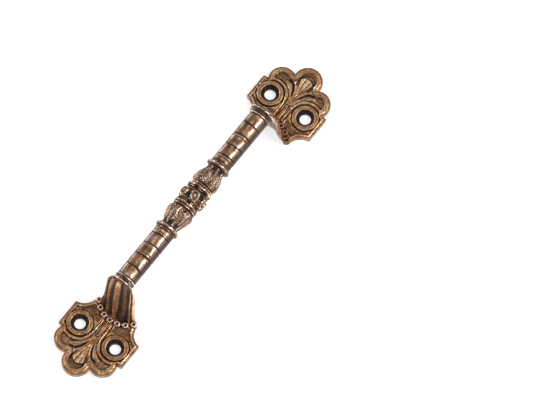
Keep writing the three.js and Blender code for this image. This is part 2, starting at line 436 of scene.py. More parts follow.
# Half of the outline as a bent line of (side, out) points: arcs, straight side, cove and hollow.
def halfOutline():
    cu, cw, cr = plate["centreLobe"]
    su, sw, sr = plate["sideLobe"]
    vu, vw, vr = plate["cove"]
    hu, hw = plate["hollow"]
    edge = plate["halfWidth"]
    gap = np.hypot(su - cu, sw)
    along = (gap**2 + cr**2 - sr**2) / (2 * gap)
    away = np.sqrt(cr**2 - along**2)
    unit = np.array((sw, su - cu)) / gap
    junction = np.array((0, cu)) + unit * along + np.array((-unit[1], unit[0])) * away
    step = plate["corner"] + (edge - sw) * plate["cornerSlant"] * plate["slantMeets"]
    q = np.linspace(0, 1, 20)
    first = np.arctan2(junction[0], junction[1] - cu) * q
    start = np.arctan2(junction[0] - sw, junction[1] - su)
    last = np.arccos((step - su) / sr)
    second = start + (last - start) * q
    dip = np.arcsin((edge - vw) / vr)
    third = dip + (-np.pi / 2 - dip) * q
    fourth = np.pi / 2 * (1 - q)
    lines = (
        (cr * np.sin(first), cu + cr * np.cos(first)),
        (sw + sr * np.sin(second), su + sr * np.cos(second)),
        ((edge,), (plate["corner"],)),
        (vw + vr * np.sin(third), vu + vr * np.cos(third)),
        (hw * np.sin(fourth), vu + hu * np.cos(fourth)),
    )
    return np.concatenate([np.stack(line, -1) for line in lines])


# Distance to a bent line of (side, out) points, and how far along it the nearest place is, 0 to 1.
def alongLine(u, w, line):
    line = np.array(line, float)
    lengths = np.hypot(*np.diff(line, axis=0).T)
    ends = np.concatenate(((0,), np.cumsum(lengths)))
    best = np.full(u.shape, 1e9)
    where = np.zeros(u.shape)
    for a, b, start, length in zip(line[:-1], line[1:], ends, lengths):
        q = ((w - a[0]) * (b[0] - a[0]) + (u - a[1]) * (b[1] - a[1])) / length**2
        q = np.clip(q, 0, 1)
        gap = np.hypot(w - a[0] - q * (b[0] - a[0]), u - a[1] - q * (b[1] - a[1]))
        nearer = gap < best
        best = np.where(nearer, gap, best)
        where = np.where(nearer, (start + q * length) / ends[-1], where)
    return best, where


# A smooth path through a few points: a Catmull-Rom cubic of 8 steps between each two.
def rounded(points):
    p = np.array(points, float)
    p = np.concatenate((2 * p[:1] - p[1:2], p, 2 * p[-1:] - p[-2:-1]))
    q = np.linspace(0, 1, 9)[:-1, None]
    path = []
    for a, b, c, d in zip(p[:-3], p[1:-2], p[2:-1], p[3:]):
        bend = 2 * a - 5 * b + 4 * c - d
        twist = 3 * b - a - 3 * c + d
        path.append(0.5 * (2 * b + (c - a) * q + bend * q**2 + twist * q**3))
    return np.concatenate(path + [p[-2:-1]])


# paths are (side, out) points; the rest are heights, depths and widths in mm
relief = {
    "scroll": rounded([
        (13.4, 4.3), (12.0, 5.6), (8.7, 6.45), (5.6, 5.75),
        (3.5, 4.0), (2.35, 1.2), (2.0, -2.2), (1.95, -6.4),
    ]),
    "comma": rounded([(6.0, 9.3), (4.2, 8.9), (2.8, 7.4), (1.9, 5.7), (1.35, 4.2)]),
    "curl": rounded([(11.3, 7.8), (10.4, 9.1), (8.8, 9.5), (7.6, 8.8), (8.2, 8.0), (9.2, 8.2)]),
    "leaf": rounded([(6.5, 8.2), (5.0, 7.4), (3.9, 6.0), (3.0, 4.3), (2.4, 2.6)]),
    "scrollHalf": (0.66, 0.42),
    "scrollProud": 0.13,
    "commaDepth": 0.75,
    "curlHeight": 0.3,
    "leafHalf": 1.05,
    "leafHeight": 0.26,
    "rimLobe": 2.45,
    "rimSide": 1.45,
    "chamfer": 1.0,
    "chamferDrop": 0.8,
    "proud": 0.2,
    "line": 0.24,
    "groove": 0.34,
    "fineLine": 0.32,
    "crescentDepth": 0.34,
    "archCentre": 12.3,
    "archRadius": 3.5,
    "archDepth": 0.42,
    "palmette": (3.0, 13.5),
    "veinDepth": 0.26,
    "matDepth": 0.22,
    "stipple": 0.10,
    "bossGroove": 0.5,
    "ledgeDepth": 0.35,
    "highest": 0.44,
}


# Where the grid's points lie on the relief: u and w slightly warped, the distance inside the
# outline and from the nearer boss, and the width of the rim, broad on the lobes, narrow elsewhere.
def onRelief(u, w, seed):
    inside = alongLine(u, np.abs(w), halfOutline())[0] * np.sign(insideOutline(u, w))
    warp = plate["warp"]
    u, w = u + warp * wobble(u * 0.5, w * 0.5, seed), w + warp * wobble(w * 0.5, u * 0.5, seed + 5)
    side = np.abs(w)
    fromBoss = np.hypot(u, side - plate["holeSide"])
    lobed = ramp(u + 0.35 * side, 7.6, 10.0)
    band = relief["rimSide"] + (relief["rimLobe"] - relief["rimSide"]) * lobed
    distances = {"inside": inside, "fromBoss": fromBoss, "side": side, "band": band}
    return SimpleNamespace(u=u, w=w, seed=seed, **distances)


# Rim: a chamfer, a bright line and a flat band, parted from the face by a groove.
def addRim(at, height):
    chamfer = relief["chamfer"]
    rise = (ramp(at.inside, -0.15, chamfer) - 1) * relief["chamferDrop"] + relief["proud"]
    brightLine = 0.09 * bump(at.inside - chamfer, 0.28)
    innerEdge = 0.10 * bump(at.inside - at.band + 0.18, 0.25)
    rim = plate["ground"] + rise + brightLine + innerEdge
    height = np.where(at.inside < at.band, rim, height)
    return height - relief["groove"] * bump(at.inside - at.band - 0.12, relief["line"])


# Sunk crescents inside the side lobes, with a fine curl in each; also 1 where they are sunk.
def sinkCrescents(at, height):
    sunk = ramp(at.inside, at.band + 0.2, at.band + 0.5) * ramp(at.fromBoss, 7.1, 7.5)
    sunk = sunk * ramp(at.side, 4.9, 6.0) * ramp(at.u, 3.6, 4.8)
    rough = 0.05 * wobble(3.1 * at.u, 3.3 * at.w, at.seed + 9)
    height = height - sunk * (relief["crescentDepth"] + rough)
    gap, along = alongLine(at.u, at.side, relief["curl"])
    return height + relief["curlHeight"] * bump(gap, 0.36 - 0.08 * along) * sunk, sunk


# Leaf between the comma and the scroll band, widest in its middle, with a soft rib.
def addLeaf(at, height):
    gap, along = alongLine(at.u, at.side, relief["leaf"])
    width = relief["leafHalf"] * (0.35 + 0.65 * np.sin(np.pi * np.clip(0.12 + 0.8 * along, 0, 1)))
    body = relief["leafHeight"] * bump(gap, width) ** 0.35
    return np.maximum(height, plate["ground"] - 0.1 + body + 0.05 * bump(gap, 0.2))


# Scroll bands with raised edges and a groove beside them: they sweep over the bosses and run down
# between them as stems, where they are thinner.
def addScrolls(at, height):
    gap, along = alongLine(at.u, at.side, relief["scroll"])
    wide, thin = relief["scrollHalf"]
    half = wide + (thin - wide) * ramp(along, 0.5, 0.75)
    flat = ramp(gap, half + 0.04, half - 0.12)
    edge = 0.12 * bump(gap - half + 0.18, 0.18)
    height = np.maximum(height, plate["ground"] * flat + flat * (relief["scrollProud"] + edge))
    clear = (at.inside > at.band - 0.3) * ramp(along, 0.0, 0.05)
    return height - relief["groove"] * bump(gap - half - 0.16, relief["line"]) * clear


# Strip between the stems: two fine lines in it, closed by a cross line; also 1 on the strip.
def cutStrip(at, height):
    strip = ramp(at.u, 0.7, 0.3) * ramp(at.u, -7.2, -6.6)
    crown = 0.06 * bump(at.side, 0.6)
    height = height + strip * (crown - relief["fineLine"] * bump(at.side - 0.8, relief["line"]))
    crossLine = bump(at.u - 0.45, relief["line"]) * ramp(at.side, 1.1, 0.85)
    return height - relief["fineLine"] * crossLine, strip


# Arched recess in the centre lobe; also 1 where it is sunk.
def sinkArch(at, height):
    radius = relief["archRadius"]
    fromCentre = np.hypot(np.maximum(at.u - relief["archCentre"], 0), at.w)
    arched = ramp(fromCentre, radius, radius - 0.3) * ramp(at.u, 8.6, 10.4)
    return height - relief["archDepth"] * arched, arched


# Three-petal palmette that fans out from its foot into the arched recess, with a round top, a
# raised edge and two veins; also 1 on its petals.
def addPalmette(at, height):
    start, top = relief["palmette"]
    fan = 0.34 + 2.5 * ramp(at.u, start, top + 0.1) ** 1.15
    across = at.w / fan
    tips = top + 0.5 * np.abs(np.cos(1.9 * across)) - 0.9 * across**2
    petalEdge = np.minimum(fan - at.side, (tips - at.u) * 0.9)
    petals = ramp(petalEdge, -0.05, 0.16) * ramp(at.u, start, start + 0.8)
    veins = bump(np.abs(across) - 0.37, 0.10) * ramp(at.u, 8.0, 10.5)
    crown = 0.10 * np.cos(np.clip(across, -1, 1) * np.pi * 1.35) ** 2
    edging = 0.11 * bump(petalEdge - 0.2, 0.18)
    raised = plate["ground"] + 0.06 + crown + edging - relief["veinDepth"] * veins
    return np.maximum(height, petals * raised), petals


# Comma-shaped recesses on either side of the palmette's foot.
def sinkCommas(at, height):
    gap, along = alongLine(at.u, at.side, relief["comma"])
    width = 0.26 + 0.36 * np.sin(np.pi * np.clip(along * 0.85 + 0.15, 0, 1))
    return height - relief["commaDepth"] * bump(gap, width) ** 0.6


# Hollow between the bosses and the beads, matted with crossed waves; also 1 where it is matted.
def mattedHollow(at, height):
    matted = ramp(at.u, -4.0, -5.2) * ramp(at.side, 2.7, 3.4)
    matted = matted * ramp(at.inside, at.band, at.band + 0.6)
    rows = np.sin(at.u * 6.3 + 2 * np.sin(at.w * 1.9))
    columns = np.sin(at.w * 6.9 + 2 * np.sin(at.u * 1.6))
    return height + matted * (relief["stipple"] * (rows * columns) - relief["matDepth"]), matted


# A groove round each boss, a seat under it, and a ledge at the row of beads.
def seatBossesAndBeads(at, height):
    boss = plate["bossRadius"]
    groove = bump(at.fromBoss - boss - 0.14, 0.34) * ramp(at.inside, at.band - 0.7, at.band + 0.2)
    height = height - relief["bossGroove"] * groove
    height = np.where(at.fromBoss < boss - 0.1, plate["ground"] - 0.3, height)
    row = np.hypot(at.u - beads["out"], at.side) - beads["radius"]
    return height - relief["ledgeDepth"] * bump(row, 1.6) * ramp(at.side, 9.4, 8.4)


# Height of the plate's face over its back, in mm: slightly wavy ground with each feature raised
# from it or cut into it. Also the tone of its patina, above or below the usual.
def plateHeight(u, w, seed):
    at = onRelief(u, w, seed)
    height = plate["ground"] + 0.04 * wobble(at.u, at.w, seed + 3)
    height = height + 0.03 * wobble(2.6 * at.u, 2.6 * at.w, seed + 7)
    height = addRim(at, height)
    height, sunk = sinkCrescents(at, height)
    height = addLeaf(at, height)
    height = addScrolls(at, height)
    height, strip = cutStrip(at, height)
    height, arched = sinkArch(at, height)
    height, petals = addPalmette(at, height)
    height = sinkCommas(at, height)
    height, matted = mattedHollow(at, height)
    height = seatBossesAndBeads(at, height)
    tone = 0.08 * arched - 0.06 * sunk - 0.08 * strip * ramp(at.side, 0.9, 0.7)
    tone = tone + 0.07 * wobble(at.u, at.w, seed + 11)
    tone = tone * (1 - petals) + 0.06 * petals - 0.12 * matted
    return np.minimum(height, plate["ground"] + relief["highest"]), tone


# The same grid blurred by a Gaussian of the given width, through its Fourier transform.
def blurred(grid, step, width):
    a, b = (np.fft.fftfreq(n, step) for n in grid.shape)
    weight = np.exp(-2 * (np.pi * width) ** 2 * (a[:, None] ** 2 + b[None, :] ** 2))
    return np.real(np.fft.ifft2(np.fft.fft2(grid) * weight))


# Edges that belong to one face only, in the order in which the face runs along them.
def openEdges(faces, count):
    ends = np.concatenate([np.stack((f, np.roll(f, -1, 1)), -1).reshape(-1, 2) for f in faces])
    key = ends[:, 0] * count + ends[:, 1]
    twin = ends[:, 1] * count + ends[:, 0]
    return ends[~np.isin(key, twin)]


# Above 0 on the plate: inside its outline, and outside a clear hole under each boss.
def plateCut(u, w):
    hole = np.hypot(u, np.abs(w) - plate["holeSide"]) - (plate["bossRadius"] - 0.7)
    return np.minimum(insideOutline(u, w), hole)


# Pulls the grid points next to the cut onto it, by Newton steps along its slope; also which points
# are kept.
def pullOntoCut(u, w):
    d = plateCut(u, w)
    near = np.zeros(d.shape, bool)
    for axis in (0, 1):
        for shift in (1, -1):
            other = np.roll(d, shift, axis)
            near |= (d * other < 0) & (np.abs(d) <= np.abs(other))
    small = 1e-3
    for _ in range(plate["newtonSteps"]):
        slopeU = (plateCut(u + small, w) - plateCut(u - small, w)) / (2 * small)
        slopeW = (plateCut(u, w + small) - plateCut(u, w - small)) / (2 * small)
        steep = np.maximum(slopeU**2 + slopeW**2, 0.2)
        pull = np.where(near, plateCut(u, w) / steep, 0)
        u = u - pull * slopeU
        w = w - pull * slopeW
    return u, w, near | (d > 0)


# Faces of the grid whose corners are kept, as (fours, threes): whole squares, and the triangles
# left of squares that lose one corner. Those whose middle is off the plate are dropped.
def keptFaces(u, w, kept):
    quads = gridFaces(*kept.shape)
    kept, u, w = kept.ravel(), u.ravel(), w.ravel()

    def centred(faces):
        return faces[plateCut(u[faces].mean(1), w[faces].mean(1)) > 0]

    corners = kept[quads]
    threes = quads[corners.sum(1) == 3]
    missing = np.argmin(kept[threes], 1)
    threes = threes[np.arange(len(threes))[:, None], (missing[:, None] + (1, 2, 3)) % 4]
    return centred(quads[corners.all(1)]), centred(threes)


# The plate: a fine square grid over the outline whose border points are pulled onto the outline,
# raised by the relief, then walled down to a flat back. Wear is the height over a blurred copy of
# itself, at a fine and a wide scale.
def plateShell(seed):
    step = plate["step"]
    lines = np.arange(*plate["gridU"], step), np.arange(*plate["gridW"], step)
    u, w = np.meshgrid(*lines, indexing="ij")
    height, tone = plateHeight(u, w, seed)
    fine = height - blurred(height, step, 0.4)
    wide = height - blurred(height, step, 1.3)
    wear = 0.60 + 2.1 * fine + 0.55 * wide + tone
    wear = np.where(insideOutline(u, w) < relief["chamfer"] * 0.7, 0.58, wear)
    u, w, kept = pullOntoCut(u, w)
    height = plateHeight(u, w, seed)[0]
    fours, threes = keptFaces(u, w, kept)
    used = np.unique(np.concatenate((fours.ravel(), threes.ravel())))
    index = np.full(u.size, -1)
    index[used] = np.arange(len(used))
    fours, threes = index[fours], index[threes]
    count = len(used)
    top = np.stack((plate["holeX"] + u.ravel()[used], w.ravel()[used], height.ravel()[used]), -1)
    back = top * (1, 1, 0)
    rim = openEdges([fours, threes], count)
    walls = np.stack((rim[:, 1], rim[:, 0], rim[:, 0] + count, rim[:, 1] + count), -1)
    faces = [fours[:, ::-1], threes[:, ::-1], fours + count, threes + count, walls[:, ::-1]]
    wearTop = np.clip(wear.ravel()[used], 0.04, 0.84)
    wearBack = np.full(count, plate["backWear"])
    return np.concatenate((top, back)), faces, np.concatenate((wearTop, wearBack))


# A closed ring about an upright axis: a loop of (radius, height, wear) carried round it.
def uprightRing(profile, x, y, around):
    profile = np.array(profile, float)
    angle = np.linspace(0, turn, around, endpoint=False)
    radius, height, wear = (column[:, None] for column in profile.T)
    across = x + radius * np.cos(angle), y + radius * np.sin(angle)
    points = np.stack((*across, height + 0 * angle), -1).reshape(-1, 3)
    faces = gridFaces(len(profile), around, True, True)[:, ::-1]
    return points, [faces], (wear + 0 * angle).ravel()


# Boss: countersink, lipped flat ring and a soft outer shoulder.
def bossShell(y):
    top = plate["bossTop"]
    hole, sink, outer = plate["holeRadius"], plate["sinkRadius"], plate["bossRadius"]
    bottom = top - (sink - hole)
    profile = [
        (hole, 0.03, 0.0),
        (hole, 0.6, 0.0),
        (hole, bottom - 0.05, 0.0),
        (hole + 0.12, bottom + 0.06, 0.02),
        (hole + 0.7, bottom + 0.68, 0.12),
        (sink - 0.2, top - 0.2, 0.14),
        (sink, top - 0.04, 0.8),
        (sink + 0.16, top, 0.82),
        (sink + 0.4, top - 0.07, 0.6),
        (outer - 0.6, top - 0.08, 0.62),
        (outer - 0.34, top - 0.03, 0.78),
        (outer - 0.14, top - 0.1, 0.7),
        (outer - 0.02, top - 0.3, 0.35),
        (outer, 1.2, 0.0),
        (outer - 0.2, 0.03, 0.0),
    ]
    return uprightRing(profile, plate["holeX"], y, plate["bossAround"])


# Bead: a small ring with a deep dimple; polish scales its wear.
def beadShell(x, y, polish):
    size, top = beads["size"], beads["top"]
    profile = [
        (0.001, 1.0, 0.0),
        (0.001, top - 0.75, 0.0),
        (0.25, top - 0.7, 0.05),
        (0.42, top - 0.4, 0.4),
        (0.54, top - 0.12, 1.0),
        (0.74, top, 1.0),
        (0.96, top - 0.03, 1.0),
        (1.2, top - 0.2, 1.0),
        (size, top - 0.6, 0.8),
        (size, top - 1.2, 0.15),
        (size, 1.0, 0.0),
    ]
    points, faces, wear = uprightRing(profile, x, y, beads["around"])
    return points, faces, wear * polish


foot = {
    "crown": ((44.5, 29.6), (47.4, 29.6), (48.6, 9.0), (51.3, 0.0)),
    "shoulder": (1.75, 2.2),
    "taper": -0.1,
    "flare": (3.0, 5.0),
    "edgeRun": (3.0, 2.2),
    "squareMiddle": 0.84,
    "squareBase": 1.15,
    "fluteDepth": 0.52,
    "ridges": ((0.0, 0.085, 0.74), (0.30, 0.09, 0.24), (0.60, 0.055, 0.60)),
    "sideBand": 0.77,
    "nick": {"along": 0.36, "half": 0.018, "spread": 0.28, "reach": (0.18, 0.12), "depth": 0.3},
    "uneven": 0.06,
    "wall": 1.7,
    "land": 1.1,
    "hollow": (19.4, 14.0),
    "around": 161,
    "along": 110,
}


# Ridges between flutes over the spread s of the foot, -1 to 1: 1 on a ridge or on the smooth band
# at each side, and 0 in a channel; also how far each is rubbed.
def ridges(s):
    side = np.abs(s)
    high = ramp(side, foot["sideBand"] - 0.05, foot["sideBand"] + 0.01)
    farSide = ramp(-s, 0.0, 0.25)
    rubbed = (0.68 - 0.32 * farSide) * high
    for centre, half, wear in foot["ridges"]:
        ridge = swell(side - centre, half * 1.15) ** 0.8
        high = np.maximum(high, ridge)
        rubbed = np.maximum(rubbed, (wear + 0.28 * farSide * (centre < 0.5)) * ridge)
    return high, rubbed


# Crown line and side edge of the foot as columns, from the collar (t = 0) to the sash (t = 1): the
# crown is a cubic Bezier, the edge curves out at the shoulder and flares at the sash.
def footLines(t):
    c = np.array(foot["crown"])
    weights = ((1 - t) ** 3, 3 * t * (1 - t) ** 2, 3 * t**2 * (1 - t), t**3)
    crownX, crownZ = (sum(wt * c[k, i] for k, wt in enumerate(weights)) for i in (0, 1))
    edgeZ = bar["height"] * (1 - t)
    drop = 1 - edgeZ / bar["height"]
    run, power = foot["edgeRun"]
    edgeX = bar["headX"] + run * drop**power
    depth, reach = foot["shoulder"]
    edgeY = bar["headRadius"] + depth * (1 - np.exp((edgeZ - bar["height"]) / reach))
    depth, reach = foot["flare"]
    edgeY = edgeY + foot["taper"] * drop**1.5 + depth * np.exp(-edgeZ / reach)
    return crownX, crownZ, edgeX, edgeY, edgeZ


# The foot: each section is half a squarish ellipse, upright at the collar and level at the sash,
# between the crown line and two side edges; flutes are pressed in along its normal. It is closed on
# its inner side by a shallow hollow, and at its ends by strips.
def footShell(seed):
    t = np.linspace(0, 1, foot["along"])[:, None]
    crownX, crownZ, edgeX, edgeY, edgeZ = footLines(t)
    angle = np.linspace(-0.5, 0.5, foot["around"]) * np.pi
    middle = ramp(t, 0.0, 0.3) * ramp(t, 0.95, 0.6)
    square = 1 + (foot["squareMiddle"] - 1) * middle + (foot["squareBase"] - 1) * ramp(t, 0.65, 1.0)
    across = np.sign(angle) * np.abs(np.sin(angle)) ** square
    out = np.cos(angle) ** square
    outerX = edgeX + (crownX - edgeX) * out
    outerZ = edgeZ + (crownZ - edgeZ) * out
    outer = np.stack((outerX, edgeY * across, outerZ), -1)
    normal = np.cross(np.gradient(outer, axis=0), np.gradient(outer, axis=1))
    normal /= np.maximum(np.linalg.norm(normal, axis=-1, keepdims=True), 1e-9)

    spread = angle / (np.pi / 2) + 0 * t
    high, rubbed = ridges(spread)
    bite = ramp(t, 0.04, 0.2) * ramp(t, 0.99, 0.94)
    nick = foot["nick"]
    cut = bump(t - nick["along"], nick["half"])
    cut = cut * ramp(np.abs(spread - nick["spread"]), *nick["reach"])
    uneven = foot["uneven"] * wobble(4 * angle + 0 * t, 14 * t + 0 * angle, seed) * bite
    pressed = foot["fluteDepth"] * bite * (1 - high) + nick["depth"] * cut + uneven
    outer = outer - normal * pressed[..., None]

    fade = ramp(edgeZ, *foot["hollow"])
    inner = np.maximum(0.15, (crownX - edgeX - foot["wall"]) * fade)
    back = angle[::-1]
    innerX = edgeX + inner * np.cos(back)
    innerY = (edgeY - foot["land"]) * np.sin(back)
    grid = np.concatenate((outer, np.stack((innerX, innerY, edgeZ + 0 * back), -1)), 1)
    rows, cols = grid.shape[:2]
    faces = [gridFaces(rows, cols, False, True)[:, ::-1]]
    for row, flip in ((0, False), (rows - 1, True)):
        a = row * cols + np.arange(foot["around"] - 1)
        b = row * cols + cols - 1 - np.arange(foot["around"] - 1)
        strip = np.stack((a, a + 1, b - 1, b), -1)
        faces.append(strip[:, ::-1] if flip else strip)
    points = grid.reshape(-1, 3)
    points[:, 2] = np.maximum(points[:, 2], 0.02)

    fluted = 0.14 + rubbed + 0.16 * wobble(9 * angle, 9 * t, seed + 2)
    smooth = 0.42 + 0.4 * ramp(np.abs(spread), 0.6, 0.85)
    wearOuter = fluted * bite + (1 - bite) * smooth - 0.5 * cut
    wear = np.concatenate((wearOuter, np.full(wearOuter.shape, 0.3)), 1)
    return points, faces, np.clip(wear, 0, 1).ravel()


# One bracket: plate, foot, two bosses and the arc of beads, each a closed shell.
def bracketShell(seed, beadPolish):
    shells = [plateShell(seed), footShell(seed)]
    shells += [bossShell(y) for y in (-plate["holeSide"], plate["holeSide"])]
    for angle in np.linspace(-beads["halfAngle"], beads["halfAngle"], beads["count"]):
        x = plate["holeX"] + beads["out"] + beads["radius"] * np.cos(angle)
        shells.append(beadShell(x, beads["radius"] * np.sin(angle), beadPolish))
    return joinShells(shells)


makePiece("upper_bracket", bracketShell(1, 0.6), "cast_bronze")
makePiece("lower_bracket", halfTurn(bracketShell(2, 1.0)), "cast_bronze")
print("brackets made")

rod = {"bore": 2.1, "spigotBore": 3.4}
drums = {
    "radius": span("upper_barrel_1", 1)[1],
    "spans": [span("upper_barrel_" + str(i), 0) for i in range(1, 6)],
    "wear": 0.64,
    "groove": 0.36,
    "double": (1, 3),
    "doubleFromEnd": 1.05,
    "lean": 0.3,
    "leanFade": (2.8, 2.5),
    # a band of painted shade beside the top, then a painted highlight stripe, both as wear
    "paintedShadeBand": {"at": 0.28, "half": 0.28, "wear": 0.22},
    "paintedHighlight": {"at": 0.66, "half": 0.26, "wear": 0.16},
    "stain": {"half": 0.8, "depth": 0.06, "wear": 0.45},
    "shallow": {"half": 0.4, "height": 0.14, "wear": 0.28},
    # painted shade along both flanks of the drums, as a drop in wear
    "flankShade": 0.5,
}
sleeve = {
    "endChamfer": 0.25,
    "innerWear": 0.05,
    "waviness": 0.035,
    "clouds": 0.2,
    # where the painted shade along the flanks of every sleeve starts and ends, and its usual depth
    "flankFrom": (0.84, 0.95),
    "flankTo": (2.1, 1.5),
    "flankShade": 0.06,
}


# Angle away from the top of the bar on either side, 0 to pi.
def offTop(angle):
    return np.abs((angle + np.pi) % turn - np.pi)


# How far a joint of the drums leans along the bar at its sides, in mm: a slow wave of x that fades
# out towards both ends of the run.
def jointLean(x):
    start, end = drums["spans"][0][0], drums["spans"][-1][1]
    rise, fall = drums["leanFade"]
    return drums["lean"] * np.sin(1.3 * x) * ramp(x, start, start + rise) * ramp(x, end, end - fall)


# A sleeve about the bar: an outer line of (x, radius, wear) carried round and closed on its bore.
# shape(x, angle) may add height and wear to each place, and a painted shade darkens both flanks.
def sleeveShell(profile, bore, around, seed, shape=None, flankShade=sleeve["flankShade"]):
    profile = np.array(profile, float)
    first, last = profile[0], profile[-1]
    chamfer, dark = sleeve["endChamfer"], sleeve["innerWear"]
    head = [(first[0], bore, dark), (first[0], first[1] - chamfer, dark)]
    tail = [(last[0], last[1] - chamfer, dark), (last[0], bore, dark)]
    loop = np.concatenate((head, profile, tail))
    angle = np.linspace(0, turn, around, endpoint=False)
    x, radius, wear = (column[:, None] + 0 * angle for column in loop.T)
    outerPart = np.zeros((len(loop), 1))
    outerPart[len(head):-len(tail)] = 1
    lift = sleeve["waviness"] * wobble(x * 1.1, 2 * np.cos(angle) + seed, seed)
    side = offTop(angle) + 0.05 * wobble(1.7 * x, 0 * angle, seed)
    # painted shade standing in for the dark reflection along both flanks: the wear drops there
    paintedFlankShade = ramp(side, *sleeve["flankFrom"]) * ramp(side, *sleeve["flankTo"])
    clouds = sleeve["clouds"] * wobble(x * 0.9 + seed, 4 * np.sin(angle), seed + 4)
    wear = wear + (clouds - flankShade * paintedFlankShade) * outerPart
    if shape:
        extra, extraWear = shape(x, angle + 0 * x)
        lift = lift + extra
        wear = wear + extraWear * outerPart
    radius = radius + lift * outerPart
    x = x + jointLean(x) * np.sin(angle)
    across = -radius * np.sin(angle), bar["height"] + radius * np.cos(angle)
    points = np.stack((x, *across), -1).reshape(-1, 3)
    faces = gridFaces(len(loop), around, True, True)
    return points, [faces], np.clip(wear, 0, 1).ravel()


# Profile of a drum: a quarter-round shoulder at each end that leaves a dark joint beside it, and
# sometimes a second turned line.
def drumProfile(start, end, double):
    r, g = drums["radius"], drums["groove"]
    q = np.linspace(0, 1, 5)
    turned = q * np.pi / 2
    shoulderX = start + 0.02 + g * (1 - np.cos(turned))
    left = list(zip(shoulderX, r - g + g * np.sin(turned), 0.04 + 0.6 * q**2))
    right = [(start + end - x, radius, wear) for x, radius, wear in left[::-1]]
    middle = [(x, r, drums["wear"]) for x in np.linspace(start + g + 0.2, end - g - 0.2, 10)]
    if double:
        line = end - drums["doubleFromEnd"]
        middle = [m for m in middle if m[0] < line - 0.4]
        middle += [
            (line - 0.32, r, 0.66),
            (line - 0.16, r - 0.06, 0.4),
            (line, r - 0.14, 0.25),
            (line + 0.16, r - 0.06, 0.4),
            (line + 0.32, r + 0.02, 0.75),
            (line + 0.5, r + 0.03, 0.8),
        ]
    return left + middle + right


# Patina and painted light of one drum: on either side of the top a band of painted shade and then a
# painted highlight stripe, black stains beside its joints, and a worn stretch where each joint is
# shallow.
def drumStains(start, end, seed):
    paintedShadeBand, paintedHighlight = drums["paintedShadeBand"], drums["paintedHighlight"]
    stain, shallow = drums["stain"], drums["shallow"]

    def shape(x, angle):
        near = np.minimum(x - start, end - x)
        # painted shade band beside the top, and a painted highlight stripe further round
        paintedShadeMask = bump(offTop(angle) - paintedShadeBand["at"], paintedShadeBand["half"])
        paintedShadeMask = paintedShadeMask * (0.6 + 0.4 * np.sin(1.4 * x + 2.1 * seed))
        paintedHighlightMask = bump(offTop(angle) - paintedHighlight["at"], paintedHighlight["half"]) * ramp(near, 0.2, 0.6)
        patchy = ramp(np.sin(2 * angle + 1.9 * seed) + 0.6 * np.sin(5 * angle + seed), 0.1, 1.0)
        stained = bump(near, stain["half"]) * patchy
        worn = bump(near, shallow["half"]) * ramp(np.sin(angle + 2.1 * seed), 0.0, 0.9)
        worn = worn * (1 - patchy)
        rise = shallow["height"] * worn - stain["depth"] * stained
        wear = paintedHighlight["wear"] * paintedHighlightMask - paintedShadeBand["wear"] * paintedShadeMask
        return rise, wear - stain["wear"] * stained + shallow["wear"] * worn

    return shape


# A half-round bead between two places, as profile points from the low radius up to the high one.
def swellingProfile(start, end, low, high, count, dark=0.15, bright=0.85):
    q = np.linspace(0, 1, count)
    rise = swell(2 * q - 1, 1)
    x = start + (end - start) * q
    return list(zip(x, low + (high - low) * rise, dark + (bright - dark) * rise**1.5))


# Ferrule: a small fillet at the last drum, a dark cove, and a lip that flares out to the foot.
ferruleProfile = [
    *swellingProfile(41.55, 42.35, 4.0, 4.45, 9),
    (42.5, 4.05, 0.05),
    (42.9, 4.05, 0.08),
    (43.3, 4.2, 0.1),
    (43.6, 4.6, 0.1),
    (43.78, 4.95, 0.14),
    (43.88, 5.15, 0.5),
    (43.98, 5.28, 1.0),
    (44.18, 5.35, 1.0),
    (44.38, 5.28, 1.0),
    (44.48, 5.1, 0.6),
]


# Cast lumps all over, and rubbed patches that fill the cove here and there.
def ferruleLumps(x, angle):
    cove = 42.95
    lumps = np.sin(7 * angle + 1.3) * np.sin(4 * angle + x)
    patches = ramp(np.sin(5 * angle + 0.9 + x), 0.0, 0.8) * bump(x - cove, 0.8)
    return 0.05 * lumps + 0.22 * patches, 0.08 * lumps + 0.75 * patches


# Bead ring: a half-round bead by the bulb, then a step down to the first drum.
ringProfile = [
    (14.92, 3.7, 0.1),
    (15.1, 4.0, 0.2),
    *swellingProfile(15.2, 16.7, 4.1, 5.1, 13),
    (16.8, 4.2, 0.15),
    (17.0, 4.25, 0.4),
    (17.3, 4.3, 0.6),
    (17.58, 4.15, 0.2),
]
# Disc: three half-round beads, the one in the middle the tallest.
discProfile = [
    *swellingProfile(2.78, 3.5, 4.3, 5.0, 9, 0.1, 0.7),
    *swellingProfile(3.55, 4.85, 4.75, 5.35, 13, 0.3, 0.88),
    *swellingProfile(4.92, 5.86, 4.1, 5.05, 11, 0.05, 0.85),
]
notches = {"count": 7, "turned": 0.15, "arc": 5.2, "x": 3.5, "half": (1.0, 0.62), "depth": 0.4}


# Uneven hammered ledges, with a ring of small sunk squares by the knop.
def discNotches(x, angle):
    pitch = turn / notches["count"]
    around = ((angle + notches["turned"] + pitch / 2) % pitch - pitch / 2) * notches["arc"]
    halfAround, halfAlong = notches["half"]
    away = np.maximum(np.abs(around) / halfAround, np.abs(x - notches["x"]) / halfAlong)
    pit = ramp(away, 1.15, 0.85)
    lumps = np.sin(5 * angle + 0.7) * np.sin(3 * angle + 2 * x)
    rise = 0.06 * lumps - notches["depth"] * pit
    return rise, 0.14 * lumps + 0.1 * np.sin(11 * angle) - 0.6 * pit


bulb = {
    "line": (
        (5.92, 4.0), (6.3, 4.5), (6.8, 4.95), (7.5, 5.2), (8.5, 5.25),
        (10.0, 4.95), (11.5, 4.4), (12.8, 3.8), (13.9, 3.5), (14.88, 3.6),
    ),
    "rows": 90,
    "wear": 0.3,
}


